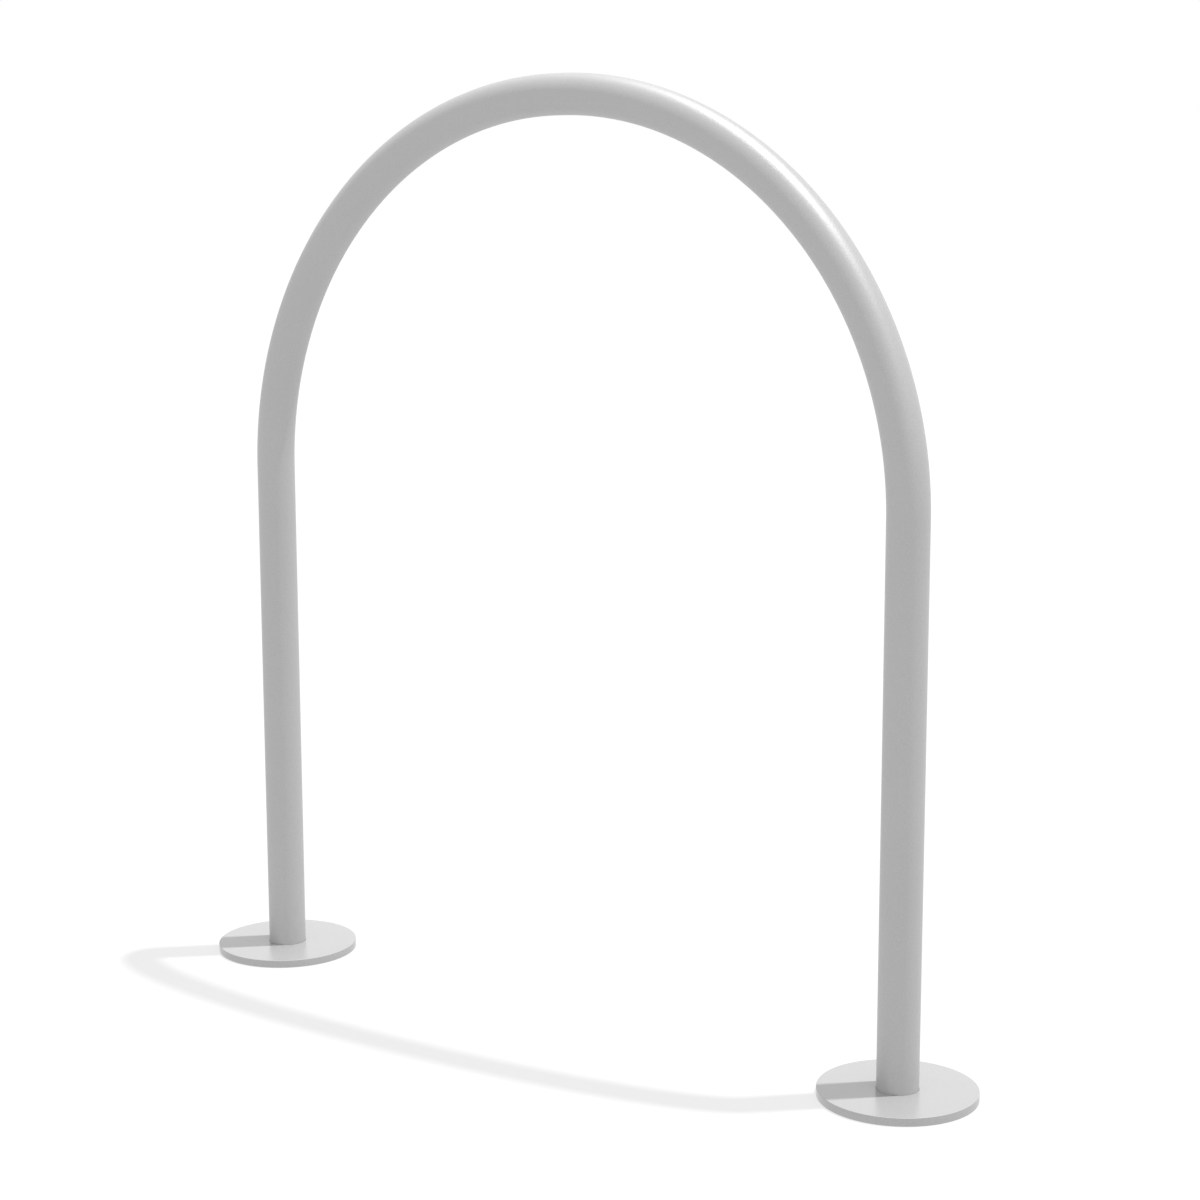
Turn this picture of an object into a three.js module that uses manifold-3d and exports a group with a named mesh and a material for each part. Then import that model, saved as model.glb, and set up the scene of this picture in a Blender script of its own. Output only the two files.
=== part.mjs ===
// A hoop bike rack. One round steel tube has two straight legs and two quarter turns, which meet
// over a few millimetres of straight tube at the crown and make the arch.
// Each leg passes through a round base flange and is welded to it from underneath. A thin round
// cover plate with a turned-down rim slides on the leg and rests on the flange. It hides the four
// countersunk anchor holes, and lifts up the leg when the rack is bolted down.
// Millimetres, +Z up. The origin is on the ground, midway between the legs, which stand on the X axis.
import * as THREE from "three";
import { mergeVertices } from "three/addons/utils/BufferGeometryUtils.js";
import Module from "manifold-3d";

const wasm = await Module();
wasm.setup();

// Driving sizes of the hoop
const overallHeight = 900; // from the ground to the top of the arch
const legSpacing = 738.4; // between the centre lines of the legs
const crownStraight = 7.1; // between the two quarter turns
const tubeDiameter = 38.1;
const tubeWall = 3.05;

// Driving sizes of the base flanges and their anchor holes
const flangeDiameter = 139.7;
const flangeThickness = 6.35;
const anchorHoleDiameter = 10.3;
const countersinkDiameter = 19;
const anchorHoleCount = 4;
const anchorCircleShare = 0.6; // how far the holes lie from the bore towards the rim

// Driving sizes of the cover plates
const coverSheet = 1.6;
const coverEdgeRadius = 0.8;

// Clearances
const fitGap = 0.3; // between a welded piece and its neighbour
const coverBoreClearance = 0.5; // all round, between a cover plate and its leg
const coverRimClearance = 0.65; // all round, between a flange and its cover plate's rim
const coverGroundClearance = 0.4; // under a cover plate's rim
const cutOverrun = 1; // how far a cutter runs past what it cuts

// How finely the round shapes are divided
const bendSteps = 24;
const legSteps = 1;
const crownSteps = 1;
const tubeSides = 32;
const plateSides = 72;
const holeSides = 24;
const edgeSteps = 3;

// Sizes that follow from the driving sizes
const tubeRadius = tubeDiameter / 2;
const legOffset = legSpacing / 2;
const bendRadius = legOffset - crownStraight / 2; // to the tube's centre line
const archBase = overallHeight - tubeRadius - bendRadius; // where the legs end and the arch begins
const hoopSteps = crownSteps + 2 * (bendSteps + legSteps);
const flangeRadius = flangeDiameter / 2;
const flangeBoreRadius = tubeRadius + fitGap;
const anchorCircleRadius = THREE.MathUtils.lerp(flangeBoreRadius, flangeRadius, anchorCircleShare);
const anchorHoleRadius = anchorHoleDiameter / 2;
const countersinkRadius = countersinkDiameter / 2;
const countersinkAngle = THREE.MathUtils.degToRad(82);
const countersinkDepth = (countersinkRadius - anchorHoleRadius) / Math.tan(countersinkAngle / 2);
const weldGroove = tubeWall; // the weld is as deep as the tube's wall is thick
const coverInnerRadius = flangeRadius + coverRimClearance;
const coverRadius = coverInnerRadius + coverSheet;
const coverTop = flangeThickness + coverSheet;
const coverEdge = Math.min(coverEdgeRadius, coverSheet);
const coverBoreRadius = tubeRadius + coverBoreClearance;

// Materials
const powderCoat = { roughness: 0.38, metalness: 0 };
const coatedTube = new THREE.MeshStandardMaterial({ color: 0xbcbcbc, ...powderCoat });
const coatedCover = new THREE.MeshStandardMaterial({ color: 0xc0c0c0, ...powderCoat });
const coatedFlange = new THREE.MeshStandardMaterial({ color: 0xb4b4b4, ...powderCoat });
const coatedWeld = new THREE.MeshStandardMaterial({ color: 0xb0b0b0, ...powderCoat });

// The hoop's centre line, from the foot of the left leg over the arch to the foot of the right one.
// It is measured in steps, not in length, so that the facets go to the bends: the straight at the
// crown takes crownSteps, each quarter turn takes bendSteps and each straight leg takes legSteps.
class HoopLine extends THREE.Curve {
  // A place on the hoop: its side, and how much of the crown's half straight, of the quarter turn
  // and of the leg lies between it and the middle of the crown, each from 0 to 1.
  placeAt(share) {
    const step = (share - 1 / 2) * hoopSteps;
    const stepsPastCrown = Math.abs(step) - crownSteps / 2;
    const stepsPastBend = stepsPastCrown - bendSteps;
    return {
      side: Math.sign(step),
      crownShare: THREE.MathUtils.clamp(stepsPastCrown / (crownSteps / 2) + 1, 0, 1),
      bendShare: THREE.MathUtils.clamp(stepsPastCrown / bendSteps, 0, 1),
      legShare: THREE.MathUtils.clamp(stepsPastBend / legSteps, 0, 1),
    };
  }

  getPointAt(share, target = new THREE.Vector3()) {
    const { side, crownShare, bendShare, legShare } = this.placeAt(share);
    const angle = (bendShare * Math.PI) / 2;
    const reach = (crownShare * crownStraight) / 2 + bendRadius * Math.sin(angle);
    const height = archBase * (1 - legShare) + bendRadius * Math.cos(angle);
    return target.set(side * reach, 0, height);
  }

  getTangentAt(share, target = new THREE.Vector3()) {
    const { side, bendShare } = this.placeAt(share);
    const angle = (side * bendShare * Math.PI) / 2;
    return target.set(Math.cos(angle), 0, -Math.sin(angle));
  }
}

// A body turned about the Z axis from a closed outline of [radius, height] points, which runs up
// the outside and down the inside.
function turned(outline, sides) {
  const points = outline.map(([radius, height]) => new THREE.Vector2(radius, height));
  const geometry = new THREE.LatheGeometry([...points, points[0].clone()], sides);
  return geometry.rotateX(Math.PI / 2);
}

// A closed geometry as a solid that can be cut.
function solidOf(geometry) {
  const bare = new THREE.BufferGeometry();
  bare.setAttribute("position", geometry.getAttribute("position"));
  bare.setIndex(geometry.getIndex());
  const merged = mergeVertices(bare);
  return new wasm.Manifold(
    new wasm.Mesh({
      numProp: 3,
      vertProperties: merged.getAttribute("position").array,
      triVerts: new Uint32Array(merged.getIndex().array),
    }),
  );
}

// A cut solid as a flat-shaded geometry.
function geometryOf(solid) {
  const mesh = solid.getMesh();
  const geometry = new THREE.BufferGeometry();
  geometry.setAttribute("position", new THREE.BufferAttribute(mesh.vertProperties, mesh.numProp));
  geometry.setIndex(new THREE.BufferAttribute(mesh.triVerts, 1));
  const flat = geometry.toNonIndexed();
  flat.computeVertexNormals();
  return flat;
}

// The bent tube, hollow and open at both feet, which end flush with the flanges' undersides.
function hoopTube() {
  const section = new THREE.Shape().absarc(0, 0, tubeRadius, 0, Math.PI * 2);
  section.holes.push(new THREE.Path().absarc(0, 0, tubeRadius - tubeWall, 0, Math.PI * 2));
  return new THREE.ExtrudeGeometry(section, {
    steps: hoopSteps,
    curveSegments: tubeSides / 2, // an arc is divided twice as finely as this says
    extrudePath: new HoopLine(),
  });
}

// One anchor hole: a straight hole with an 82 degree countersink at the flange's top face.
function anchorHoleCutter() {
  const outline = [
    [0, -cutOverrun],
    [anchorHoleRadius, -cutOverrun],
    [anchorHoleRadius, flangeThickness - countersinkDepth],
    [countersinkRadius, flangeThickness],
    [countersinkRadius, flangeThickness + cutOverrun],
    [0, flangeThickness + cutOverrun],
  ];
  return solidOf(turned(outline, holeSides));
}

// The base flange: a round plate with a bore for the leg, a weld groove round the bore's lower
// edge, and the anchor holes at 45 degrees to the hoop's plane, where a drill clears the leg.
function baseFlange() {
  const outline = [
    [flangeRadius, 0],
    [flangeRadius, flangeThickness],
    [flangeBoreRadius, flangeThickness],
    [flangeBoreRadius, weldGroove],
    [flangeBoreRadius + weldGroove, 0],
  ];
  let flange = solidOf(turned(outline, plateSides));
  const cutter = anchorHoleCutter();
  for (let hole = 0; hole < anchorHoleCount; hole += 1) {
    const angle = (Math.PI * 2 * (hole + 1 / 2)) / anchorHoleCount;
    const place = [anchorCircleRadius * Math.cos(angle), anchorCircleRadius * Math.sin(angle), 0];
    flange = flange.subtract(cutter.translate(place));
  }
  return geometryOf(flange);
}

// The weld that fills the groove between the leg and the flange, ground flush underneath.
function flangeWeld() {
  const innerRadius = tubeRadius + fitGap;
  const legLength = weldGroove - fitGap * Math.SQRT2;
  return turned(
    [
      [innerRadius + legLength, 0],
      [innerRadius, legLength],
      [innerRadius, 0],
    ],
    plateSides,
  );
}

// The cover plate: a thin disc on top of the flange, bored for the leg, with a rim turned down
// round the flange and a small radius on the rim's upper edge.
function coverPlate() {
  const outline = [[coverRadius, coverGroundClearance]];
  for (let step = 0; step <= edgeSteps; step += 1) {
    const angle = ((Math.PI / 2) * step) / edgeSteps;
    const radius = coverRadius - coverEdge * (1 - Math.cos(angle));
    const height = coverTop - coverEdge * (1 - Math.sin(angle));
    outline.push([radius, height]);
  }
  outline.push(
    [coverBoreRadius, coverTop],
    [coverBoreRadius, flangeThickness],
    [coverInnerRadius, flangeThickness],
    [coverInnerRadius, coverGroundClearance],
  );
  return turned(outline, plateSides);
}

function named(name, geometry, material) {
  const mesh = new THREE.Mesh(geometry, material);
  mesh.name = name;
  return mesh;
}

const rack = new THREE.Group();
rack.add(named("hoop_tube", hoopTube(), coatedTube));
for (const [side, direction] of [["left", -1], ["right", 1]]) {
  const foot = new THREE.Group();
  foot.position.x = direction * legOffset;
  foot.add(named(`${side}_base_flange`, baseFlange(), coatedFlange));
  foot.add(named(`${side}_flange_weld`, flangeWeld(), coatedWeld));
  foot.add(named(`${side}_cover_plate`, coverPlate(), coatedCover));
  rack.add(foot);
}

export default rack;
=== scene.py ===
"""The looks of a powder-coated hoop bike rack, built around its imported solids. Metres, +Z up.

The bent tube, the base flanges with their welds and the sliding cover plates are each remade as a
fine mesh in the place of their solid, and finished with a light grey, finely grained powder coat.
"""

import math

import bmesh
import bpy
from mathutils import Matrix, Vector


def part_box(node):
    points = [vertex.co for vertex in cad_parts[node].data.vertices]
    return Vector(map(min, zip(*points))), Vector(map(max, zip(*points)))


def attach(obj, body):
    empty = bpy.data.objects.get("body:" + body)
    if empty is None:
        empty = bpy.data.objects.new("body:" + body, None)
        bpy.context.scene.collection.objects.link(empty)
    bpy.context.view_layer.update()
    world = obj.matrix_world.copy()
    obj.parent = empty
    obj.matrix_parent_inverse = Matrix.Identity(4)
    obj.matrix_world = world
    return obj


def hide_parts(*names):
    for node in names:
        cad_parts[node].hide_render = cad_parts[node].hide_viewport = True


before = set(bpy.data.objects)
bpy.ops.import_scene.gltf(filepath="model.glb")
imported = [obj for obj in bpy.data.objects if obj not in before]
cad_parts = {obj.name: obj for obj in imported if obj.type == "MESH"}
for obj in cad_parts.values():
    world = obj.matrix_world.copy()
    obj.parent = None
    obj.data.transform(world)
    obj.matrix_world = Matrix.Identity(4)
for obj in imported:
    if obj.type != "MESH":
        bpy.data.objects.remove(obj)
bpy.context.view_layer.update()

MM = 0.001

# Sizes read from the frame. The left and right pieces are alike.
TUBE_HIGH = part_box("hoop_tube")[1]
FLANGE_LOW, FLANGE_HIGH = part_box("right_base_flange")
WELD_LOW, WELD_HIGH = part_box("right_flange_weld")
COVER_LOW, COVER_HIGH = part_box("right_cover_plate")
TUBE_RADIUS = TUBE_HIGH.y
LEG_X = TUBE_HIGH.x - TUBE_RADIUS
FLANGE_RADIUS = (FLANGE_HIGH.x - FLANGE_LOW.x) / 2
FLANGE_TOP = FLANGE_HIGH.z
WELD_RADIUS = (WELD_HIGH.x - WELD_LOW.x) / 2
WELD_TOP = WELD_HIGH.z
COVER_RADIUS = (COVER_HIGH.x - COVER_LOW.x) / 2
COVER_TOP = COVER_HIGH.z
COVER_BOTTOM = COVER_LOW.z

# Sizes that the frame's boxes don't show, and what follows from them
CROWN_STRAIGHT = 7.1 * MM
BEND_RADIUS = LEG_X - CROWN_STRAIGHT / 2
ARCH_BASE = TUBE_HIGH.z - TUBE_RADIUS - BEND_RADIUS
TUBE_WALL = 3.05 * MM
TUBE_BORE_RADIUS = TUBE_RADIUS - TUBE_WALL
TUBE_END_CHAMFER = 0.4 * MM
FIT_GAP = 0.3 * MM
FLANGE_BORE_RADIUS = TUBE_RADIUS + FIT_GAP
FLANGE_CHAMFER = 0.5 * MM
ANCHOR_HOLE_RADIUS = 5.15 * MM
COUNTERSINK_RADIUS = 9.5 * MM
COUNTERSINK_HALF_ANGLE = math.radians(41)
ANCHOR_CIRCLE_SHARE = 0.6
ANCHOR_HOLES = 4
COVER_BORE_CLEARANCE = 0.2 * MM
COVER_BORE_RADIUS = TUBE_RADIUS + COVER_BORE_CLEARANCE
COVER_SHEET = COVER_TOP - FLANGE_TOP
COVER_HOLLOW_RADIUS = COVER_RADIUS - COVER_SHEET
COVER_RIM_ROUND = 0.4 * MM
COVER_BORE_ROUND = 0.15 * MM
COVER_INNER_ROUND = 0.4 * MM

# How finely the shapes are divided
TUBE_SIDES = 128
BEND_STEPS = 128
LEG_STEPS = 24
PLATE_SIDES = 256
HOLE_SIDES = 64
ROUND_STEPS = 6
SHARP_ANGLE = math.radians(30)

# The view, as worked out from the outlines of the hoop and the plates in the photograph. At
# azimuth 0 the camera looks along +Y.
VIEW_AZIMUTH = math.radians(36.110)
VIEW_ELEVATION = math.radians(9.601)
VIEW_ROLL = math.radians(-0.126)
VIEW_DISTANCE = 6.1355 * LEG_X
VIEW_TARGET = Vector((0.11773 * LEG_X, 0, 1.12444 * LEG_X))
SENSOR_WIDTH = 36
FOCAL_PIXELS = 2415.2
FRAME_PIXELS = 1200

# The light: an even white studio, and one small key lamp high up behind the right leg, whose
# azimuth runs from +X towards +Y. A strength of 1 shows as plain white.
WHITE = (1, 1, 1, 1)
WHITE_LEVEL = 1.0
SURROUND_LIGHT = 0.76
KEY_AZIMUTH = math.radians(44.5)
KEY_ELEVATION = math.radians(75.2)
KEY_STRENGTH = 2.9
KEY_ANGLE = math.radians(1.5)
FLOOR_HALF = 30
FLOOR_COLOUR = (0.7, 0.7, 0.7, 1)
FLOOR_LIGHT = 0.785
FLOOR_SHADOW = 0.3

# Noises run from 0 to 1, but seldom leave the stretch between these two values. One of scale N has
# about N grains in a metre.
NOISE_LOW = 0.3
NOISE_HIGH = 0.7
CLOUDS = {"Scale": 14, "Detail": 3}
SPECKS = {"Scale": 1000, "Detail": 1}
PEEL = {"Scale": 1300, "Detail": 1}
GRAIN = {"Scale": 1500, "Detail": 2, "Roughness": 0.6}
SCALE_PATCHES = {"Scale": 180, "Detail": 4}

# The powder coat on every surface: how strong its gloss is, how far the clouds change its grey and
# its roughness, and how far the grain changes its roughness
COAT_IOR = 1.74
COAT_SPECULAR = 1.0
CLOUD_SHADES = (0.985, 1.01)
CLOUD_GLOSS = 0.015
GRAIN_GLOSS = 0.03

# The coat as it lies on each surface: its grey, its roughness, how far its specks differ from that
# grey, and how deep its grain and its orange peel are. On the tube its gloss is drawn out along
# the tube, and on edges it is rougher.
TUBE_COAT = {
    "grey": 0.43,
    "roughness": 0.44,
    "speck": 0.07,
    "grain": 0.04 * MM,
    "peel": 0.2 * MM,
    "anisotropy": 0.5,
}
COVER_COAT = {
    "grey": 0.402,
    "roughness": 0.22,
    "speck": 0.1,
    "grain": 0.04 * MM,
    "peel": 0.04 * MM,
}
EDGE_COAT = {**COVER_COAT, "roughness": 0.6, "grain": 0.08 * MM}
FLANGE_COAT = {**EDGE_COAT, "roughness": 0.5}

# The uncoated steel inside the tube
STEEL_DARK = (0.16, 0.155, 0.15, 1)
STEEL_LIGHT = (0.3, 0.29, 0.28, 1)
STEEL_ROUGHNESS = (0.5, 0.7)
STEEL_GRAIN = 0.05 * MM


def add_object(name, data):
    """An object in the scene that shows a mesh, a lamp or a camera."""
    added = bpy.data.objects.new(name, data)
    bpy.context.scene.collection.objects.link(added)
    return added


def add_mesh(name, geometry):
    """An object made of a bmesh as it is."""
    mesh = bpy.data.meshes.new(name)
    geometry.to_mesh(mesh)
    geometry.free()
    return add_object(name, mesh)


def new_piece(name, geometry):
    """An object made of a bmesh, smooth but for the edges where faces meet at a clear angle."""
    bmesh.ops.recalc_face_normals(geometry, faces=geometry.faces)
    for face in geometry.faces:
        face.smooth = True
    for edge in geometry.edges:
        edge.smooth = len(edge.link_faces) == 2 and edge.calc_face_angle() < SHARP_ANGLE
    return add_mesh(name, geometry)


def rounded(corner, before, after, radius):
    """Points of the round that replaces an outline's square corner, from one side to the other."""
    corner, before, after = Vector(corner), Vector(before), Vector(after)
    start = (before - corner).normalized()
    end = (after - corner).normalized()
    centre = corner + (start + end) * radius
    points = []
    for step in range(ROUND_STEPS + 1):
        angle = math.pi / 2 * step / ROUND_STEPS
        points.append(centre - end * radius * math.cos(angle) - start * radius * math.sin(angle))
    return [tuple(point) for point in points]


def bridged(geometry, rings, closed=False):
    """Joins neighbouring rings of vertices with quads, and the last ring to the first if closed."""
    count = len(rings)
    faces = []
    for index in range(count if closed else count - 1):
        ring, following = rings[index], rings[(index + 1) % count]
        sides = len(ring)
        for side in range(sides):
            after = (side + 1) % sides
            corners = (ring[side], ring[after], following[after], following[side])
            faces.append(geometry.faces.new(corners))
    return faces


def upright_rings(geometry, outline, centre, sides):
    """A ring of vertices about an upright axis for each (radius, height) point of an outline."""
    rings = []
    for radius, height in outline:
        ring = []
        for side in range(sides):
            angle = math.tau * side / sides
            offset = Vector((radius * math.cos(angle), radius * math.sin(angle), height))
            ring.append(geometry.verts.new(centre + offset))
        rings.append(ring)
    return rings


def turned(name, outline, centre, rounds=()):
    """A solid ring turned about an upright axis, from a closed outline of (radius, height) points.

    Each of the rounds is a run of the outline's points, whose faces take the second material.
    """
    geometry = bmesh.new()
    rings = upright_rings(geometry, outline, centre, PLATE_SIDES)
    faces = bridged(geometry, rings, closed=True)
    for points in rounds:
        first, last = outline.index(points[0]), outline.index(points[-1])
        for face in faces[first * PLATE_SIDES:last * PLATE_SIDES]:
            face.material_index = 1
    return new_piece(name, geometry)


def hoop_stations():
    """Places along the hoop's centre line, each with the direction that points out of the arch."""
    right = []
    for step in range(LEG_STEPS):
        height = TUBE_END_CHAMFER + (ARCH_BASE - TUBE_END_CHAMFER) * step / LEG_STEPS
        right.append((Vector((LEG_X, 0, height)), Vector((1, 0, 0))))
    bend_centre = Vector((CROWN_STRAIGHT / 2, 0, ARCH_BASE))
    for step in range(BEND_STEPS + 1):
        angle = math.pi / 2 * step / BEND_STEPS
        outward = Vector((math.cos(angle), 0, math.sin(angle)))
        right.append((bend_centre + outward * BEND_RADIUS, outward))
    mirror = Vector((-1, 1, 1))
    left = [(centre * mirror, outward * mirror) for centre, outward in right]
    return left + right[::-1]


def tube_ring(geometry, centre, outward, radius):
    """A ring of vertices square to the hoop's centre line."""
    across = Vector((0, 1, 0))
    ring = []
    for side in range(TUBE_SIDES):
        angle = math.tau * side / TUBE_SIDES
        place = centre + (outward * math.cos(angle) + across * math.sin(angle)) * radius
        ring.append(geometry.verts.new(place))
    return ring


def tube_skin(geometry, radius, foot_radius):
    """Rings of vertices along one face of the tube's wall, with one more for each foot's chamfer."""
    stations = hoop_stations()
    feet = []
    for centre, outward in (stations[0], stations[-1]):
        feet.append((Vector((centre.x, 0, 0)), outward))
    rings = [tube_ring(geometry, *feet[0], foot_radius)]
    rings += [tube_ring(geometry, *station, radius) for station in stations]
    rings.append(tube_ring(geometry, *feet[1], foot_radius))
    return rings


def hoop_tube():
    """The bent tube: its coated outside, its bare inside, and the end of its wall at each foot."""
    geometry = bmesh.new()
    outside = tube_skin(geometry, TUBE_RADIUS, TUBE_RADIUS - TUBE_END_CHAMFER)
    inside = tube_skin(geometry, TUBE_BORE_RADIUS, TUBE_BORE_RADIUS + TUBE_END_CHAMFER)
    bridged(geometry, outside)
    for face in bridged(geometry, inside):
        face.material_index = 1
    for foot in (0, -1):
        bridged(geometry, [outside[foot], inside[foot]])
    return new_piece("bent_tube", geometry)


def cover_plate(side, centre):
    """The sheet cap: rounded over its rim, with the rim turned down round the flange."""
    rim = (COVER_RADIUS, COVER_TOP)
    bore = (COVER_BORE_RADIUS, COVER_TOP)
    bore_foot = (COVER_BORE_RADIUS, FLANGE_TOP)
    hollow = (COVER_HOLLOW_RADIUS, FLANGE_TOP)
    rim_foot = (COVER_RADIUS, COVER_BOTTOM)
    hollow_foot = (COVER_HOLLOW_RADIUS, COVER_BOTTOM)
    rim_round = rounded(rim, rim_foot, bore, COVER_RIM_ROUND)
    bore_round = rounded(bore, rim, bore_foot, COVER_BORE_ROUND)
    inner_round = rounded(hollow, bore_foot, hollow_foot, COVER_INNER_ROUND)
    outline = [rim_foot, *rim_round, *bore_round, bore_foot, *inner_round, hollow_foot]
    return turned(f"{side}_cover", outline, centre, [rim_round, bore_round])


def base_flange(side, centre):
    """The round plate under the cover, with its weld groove and four countersunk holes.

    Each wall is an outline from the underside up. The two flat faces then fill what lies between
    the outer wall, the bore and the holes.
    """
    outside = [
        (FLANGE_RADIUS - FLANGE_CHAMFER, 0),
        (FLANGE_RADIUS, FLANGE_CHAMFER),
        (FLANGE_RADIUS, FLANGE_TOP - FLANGE_CHAMFER),
        (FLANGE_RADIUS - FLANGE_CHAMFER, FLANGE_TOP),
    ]
    groove = TUBE_WALL  # the weld is as deep as the tube's wall is thick
    inside = [
        (FLANGE_BORE_RADIUS + groove, 0),
        (FLANGE_BORE_RADIUS, groove),
        (FLANGE_BORE_RADIUS, FLANGE_TOP),
    ]
    cone_depth = (COUNTERSINK_RADIUS - ANCHOR_HOLE_RADIUS) / math.tan(COUNTERSINK_HALF_ANGLE)
    hole = [
        (ANCHOR_HOLE_RADIUS, 0),
        (ANCHOR_HOLE_RADIUS, FLANGE_TOP - cone_depth),
        (COUNTERSINK_RADIUS, FLANGE_TOP),
    ]

    geometry = bmesh.new()
    walls = [
        upright_rings(geometry, outside, centre, PLATE_SIDES),
        upright_rings(geometry, inside, centre, PLATE_SIDES),
    ]
    circle = FLANGE_BORE_RADIUS + (FLANGE_RADIUS - FLANGE_BORE_RADIUS) * ANCHOR_CIRCLE_SHARE
    for index in range(ANCHOR_HOLES):
        angle = math.tau * (index + 1 / 2) / ANCHOR_HOLES
        offset = Vector((math.cos(angle), math.sin(angle), 0)) * circle
        walls.append(upright_rings(geometry, hole, centre + offset, HOLE_SIDES))
    for rings in walls:
        bridged(geometry, rings)
    for level in (0, -1):
        rims = []
        for rings in walls:
            rim = rings[level]
            rims += [geometry.edges.get((rim[index - 1], rim[index])) for index in range(len(rim))]
        bmesh.ops.triangle_fill(geometry, edges=rims, normal=(0, 0, 1))
    return new_piece(f"{side}_flange", geometry)


def flange_weld(side, centre):
    """The weld that fills the groove round the leg, under the flange."""
    outline = [(WELD_RADIUS, 0), (FLANGE_BORE_RADIUS, WELD_TOP), (FLANGE_BORE_RADIUS, 0)]
    return turned(f"{side}_weld", outline, centre)


class Nodes:
    """The node tree of a material or world, with short calls to add nodes and join them."""

    def __init__(self, owner):
        owner.use_nodes = True
        self.tree = owner.node_tree
        self.tree.nodes.clear()

    def add(self, kind, inputs=None, **settings):
        """A node. Each input is a value, or another node's output to link from."""
        node = self.tree.nodes.new(kind)
        for name, value in settings.items():
            setattr(node, name, value)
        for name, value in (inputs or {}).items():
            if isinstance(value, bpy.types.NodeSocket):
                self.tree.links.new(value, node.inputs[name])
            else:
                node.inputs[name].default_value = value
        return node

    def math(self, operation, first, second):
        """Two values added, multiplied or compared."""
        return self.add("ShaderNodeMath", {0: first, 1: second}, operation=operation).outputs[0]

    def mapped(self, value, source, target):
        """A value carried over from one (low, high) pair to another."""
        inputs = {
            "Value": value,
            "From Min": source[0],
            "From Max": source[1],
            "To Min": target[0],
            "To Max": target[1],
        }
        return self.add("ShaderNodeMapRange", inputs).outputs[0]

    def spread(self, noise, low, high):
        """A noise spread from low to high."""
        return self.mapped(noise, (NOISE_LOW, NOISE_HIGH), (low, high))

    def noise(self, place, grains):
        """A noise over the object's own coordinates."""
        return self.add("ShaderNodeTexNoise", {"Vector": place, **grains}).outputs[0]

    def bump(self, height, depth, under=None):
        """A bumpy surface, over another one if that is given."""
        inputs = {"Height": height, "Distance": depth}
        if under:
            inputs["Normal"] = under
        return self.add("ShaderNodeBump", inputs).outputs[0]

    def emission(self, strength):
        """A white glow."""
        return self.add("ShaderNodeEmission", {"Color": WHITE, "Strength": strength}).outputs[0]

    def mixed(self, share, first, second):
        """Two shaders, of which the second has the given share."""
        return self.add("ShaderNodeMixShader", {0: share, 1: first, 2: second}).outputs[0]

    def surface(self, shader):
        """Makes a shader the material's surface."""
        self.add("ShaderNodeOutputMaterial", {"Surface": shader})

    def principled(self, inputs):
        """Makes a Principled shader the material's surface."""
        self.surface(self.add("ShaderNodeBsdfPrincipled", inputs).outputs[0])


def new_material(name):
    """An empty material and its nodes."""
    material = bpy.data.materials.new(name)
    return material, Nodes(material)


def along_tube(nodes, place):
    """The direction along the bent tube: up the legs, and round the arch."""
    parts = nodes.add("ShaderNodeSeparateXYZ", {"Vector": place}).outputs
    rise = nodes.math("MAXIMUM", nodes.math("SUBTRACT", parts["Z"], ARCH_BASE), 0.0)
    back = nodes.math("MULTIPLY", rise, -1.0)
    along = nodes.add("ShaderNodeCombineXYZ", {"X": back, "Z": parts["X"]}).outputs[0]
    return nodes.add("ShaderNodeVectorMath", {0: along}, operation="NORMALIZE").outputs[0]


def powder_coat(name, grey, roughness, speck, grain, peel, anisotropy=None):
    """Light grey powder coat: fine sandy grain over a soft orange peel, and a satin gloss."""
    material, nodes = new_material(name)
    place = nodes.add("ShaderNodeTexCoord").outputs["Object"]
    clouds = nodes.noise(place, CLOUDS)
    specks = nodes.noise(place, SPECKS)
    peels = nodes.noise(place, PEEL)
    grains = nodes.noise(place, GRAIN)

    shade = nodes.math(
        "MULTIPLY",
        nodes.spread(clouds, *CLOUD_SHADES),
        nodes.spread(specks, 1 - speck, 1 + speck),
    )
    tint = nodes.add(
        "ShaderNodeVectorMath", {0: (grey, grey, grey), "Scale": shade}, operation="SCALE"
    ).outputs[0]
    gloss = nodes.math(
        "ADD",
        nodes.spread(clouds, -CLOUD_GLOSS, CLOUD_GLOSS),
        nodes.spread(grains, roughness - GRAIN_GLOSS, roughness + GRAIN_GLOSS),
    )
    inputs = {
        "Base Color": tint,
        "Roughness": gloss,
        "IOR": COAT_IOR,
        "Specular IOR Level": COAT_SPECULAR,
        "Normal": nodes.bump(grains, grain, under=nodes.bump(peels, peel)),
    }
    if anisotropy:
        inputs["Anisotropic"] = anisotropy
        inputs["Tangent"] = along_tube(nodes, place)
    nodes.principled(inputs)
    return material


def bare_steel():
    """The tube's uncoated inside: dull grey steel with a little scale."""
    material, nodes = new_material("bare_steel")
    place = nodes.add("ShaderNodeTexCoord").outputs["Object"]
    patches = nodes.noise(place, SCALE_PATCHES)
    # The colour sockets of a Mix node share their names with others, so they go by number.
    tones = {"Factor": patches, 6: STEEL_DARK, 7: STEEL_LIGHT}
    tint = nodes.add("ShaderNodeMix", tones, data_type="RGBA").outputs[2]
    nodes.principled(
        {
            "Base Color": tint,
            "Metallic": 1.0,
            "Roughness": nodes.spread(patches, *STEEL_ROUGHNESS),
            "Normal": nodes.bump(patches, STEEL_GRAIN),
        }
    )
    return material


def studio_white(nodes, light):
    """The strength of a white studio wall.

    It is plain white where it is seen, also in gloss or through glass, and has the given light
    where it lights the rack.
    """
    path = nodes.add("ShaderNodeLightPath").outputs
    seen = path["Is Camera Ray"]
    for name in ("Is Glossy Ray", "Is Transmission Ray"):
        seen = nodes.math("MAXIMUM", seen, path[name])
    return nodes.mapped(seen, (0, 1), (light, WHITE_LEVEL))


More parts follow.
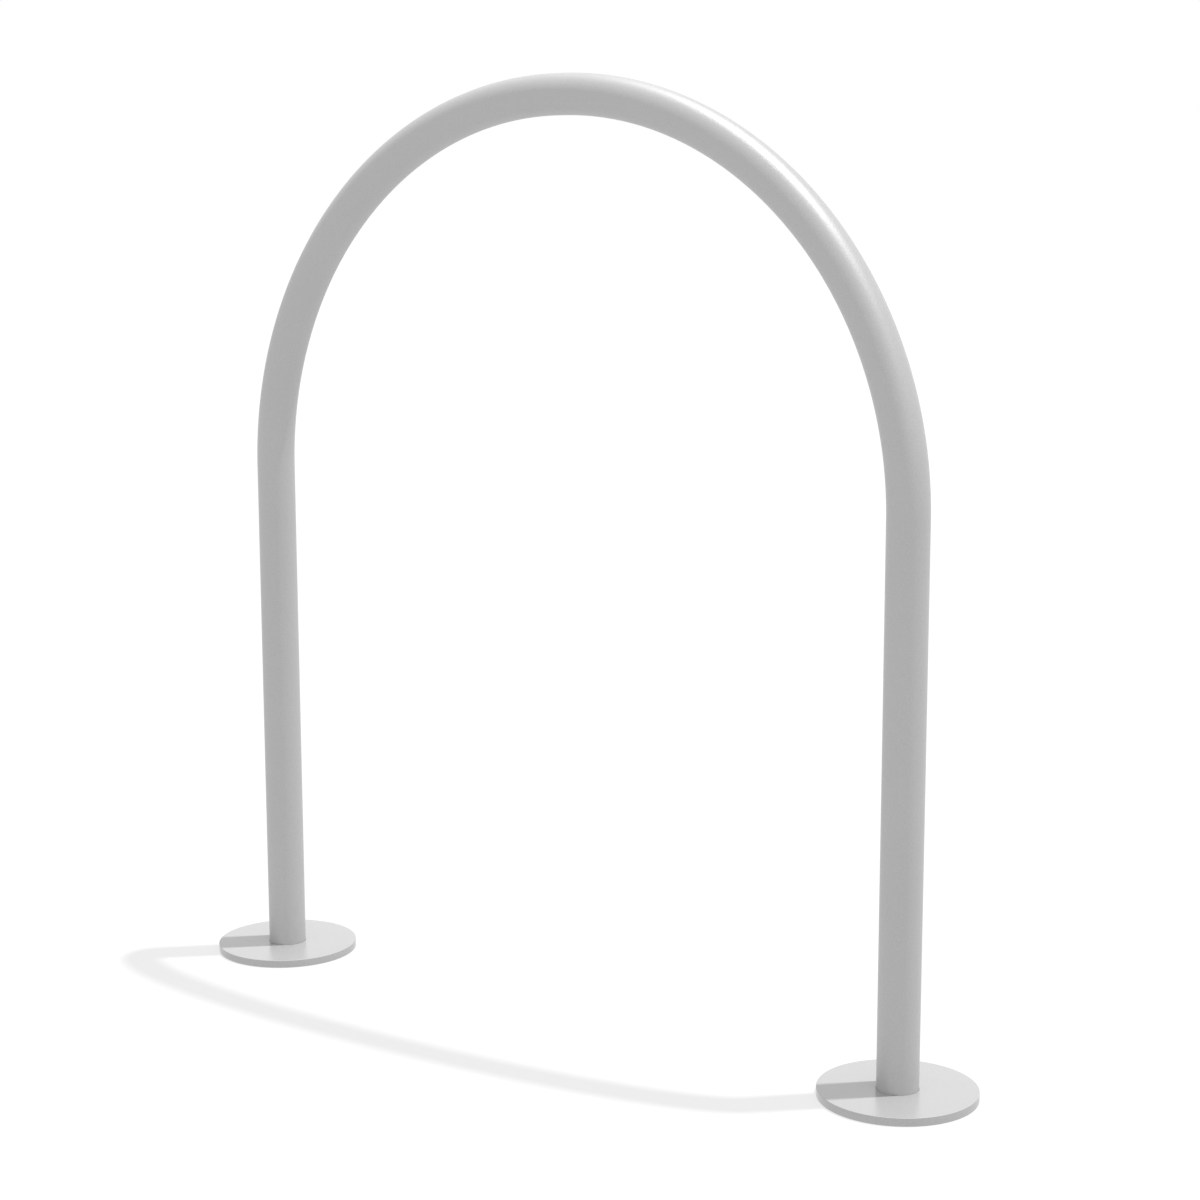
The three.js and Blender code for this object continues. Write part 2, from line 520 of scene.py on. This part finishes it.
def floor_material():
    """A white floor that lights the rack as the studio does. Only the camera sees its shadow."""
    material, nodes = new_material("pale_floor")
    material.cycles.emission_sampling = "NONE"
    plain = nodes.emission(studio_white(nodes, FLOOR_LIGHT))
    shaded = nodes.add("ShaderNodeBsdfDiffuse", {"Color": FLOOR_COLOUR}).outputs[0]
    shown = nodes.mixed(FLOOR_SHADOW, nodes.emission(WHITE_LEVEL), shaded)
    looked_at = nodes.add("ShaderNodeLightPath").outputs["Is Camera Ray"]
    nodes.surface(nodes.mixed(looked_at, plain, shown))
    return material


def add_floor():
    """A wide flat floor under the rack, which isn't part of it."""
    geometry = bmesh.new()
    bmesh.ops.create_grid(geometry, x_segments=1, y_segments=1, size=FLOOR_HALF)
    floor = add_mesh("floor", geometry)
    floor.data.materials.append(floor_material())


def add_surround():
    """An even white studio on all sides."""
    world = bpy.data.worlds.new("studio")
    bpy.context.scene.world = world
    nodes = Nodes(world)
    strength = studio_white(nodes, SURROUND_LIGHT)
    light = nodes.add("ShaderNodeBackground", {"Color": WHITE, "Strength": strength})
    nodes.add("ShaderNodeOutputWorld", {"Surface": light.outputs[0]})


def add_key():
    """The small lamp whose gloss runs along the arch and whose shadows lie across the plates."""
    lamp = bpy.data.lights.new("key", "SUN")
    lamp.energy = KEY_STRENGTH
    lamp.angle = KEY_ANGLE
    key = add_object("key", lamp)
    towards = Vector(
        (
            math.cos(KEY_AZIMUTH) * math.cos(KEY_ELEVATION),
            math.sin(KEY_AZIMUTH) * math.cos(KEY_ELEVATION),
            math.sin(KEY_ELEVATION),
        )
    )
    key.location = towards * VIEW_DISTANCE
    key.rotation_mode = "QUATERNION"
    key.rotation_quaternion = towards.to_track_quat("Z", "Y")


def add_camera():
    """The camera at the photograph's place, with its lens and its slight roll."""
    lens = bpy.data.cameras.new("camera")
    lens.sensor_width = SENSOR_WIDTH
    lens.lens = SENSOR_WIDTH * FOCAL_PIXELS / FRAME_PIXELS
    camera = add_object("camera", lens)
    back = Vector(
        (
            math.sin(VIEW_AZIMUTH) * math.cos(VIEW_ELEVATION),
            -math.cos(VIEW_AZIMUTH) * math.cos(VIEW_ELEVATION),
            math.sin(VIEW_ELEVATION),
        )
    )
    level = Vector((math.cos(VIEW_AZIMUTH), math.sin(VIEW_AZIMUTH), 0))
    upright = back.cross(level)
    right = level * math.cos(VIEW_ROLL) + upright * math.sin(VIEW_ROLL)
    up = upright * math.cos(VIEW_ROLL) - level * math.sin(VIEW_ROLL)
    turn = Matrix((right, up, back)).transposed().to_4x4()
    camera.matrix_world = Matrix.Translation(VIEW_TARGET + back * VIEW_DISTANCE) @ turn
    bpy.context.scene.camera = camera


def dress(piece, body, node, slot, *materials):
    """Gives a piece its materials and its body, and hides the node that it stands for. The slot is
    not used.
    """
    for material in materials:
        piece.data.materials.append(material)
    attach(piece, body)
    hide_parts(node)


def build_rack():
    """The seven pieces, each dressed for the node that it stands for."""
    tube_coat = powder_coat("coat_on_tube", **TUBE_COAT)
    cover_coat = powder_coat("coat_on_covers", **COVER_COAT)
    edge_coat = powder_coat("coat_on_edges", **EDGE_COAT)
    flange_coat = powder_coat("coat_on_flanges", **FLANGE_COAT)

    dress(hoop_tube(), "hoop", "hoop_tube", "coated_tube", tube_coat, bare_steel())
    for side, leg_x in (("left", -LEG_X), ("right", LEG_X)):
        centre = Vector((leg_x, 0, 0))
        flange = base_flange(side, centre)
        dress(flange, "hoop", f"{side}_base_flange", "coated_flange", flange_coat)
        weld = flange_weld(side, centre)
        dress(weld, "hoop", f"{side}_flange_weld", "coated_weld", flange_coat)
        cover = cover_plate(side, centre)
        cover_node = f"{side}_cover_plate"
        dress(cover, f"{side}_cover", cover_node, "coated_cover", cover_coat, edge_coat)


bpy.context.scene.view_settings.view_transform = "Standard"
add_camera()
add_surround()
add_key()
add_floor()
build_rack()
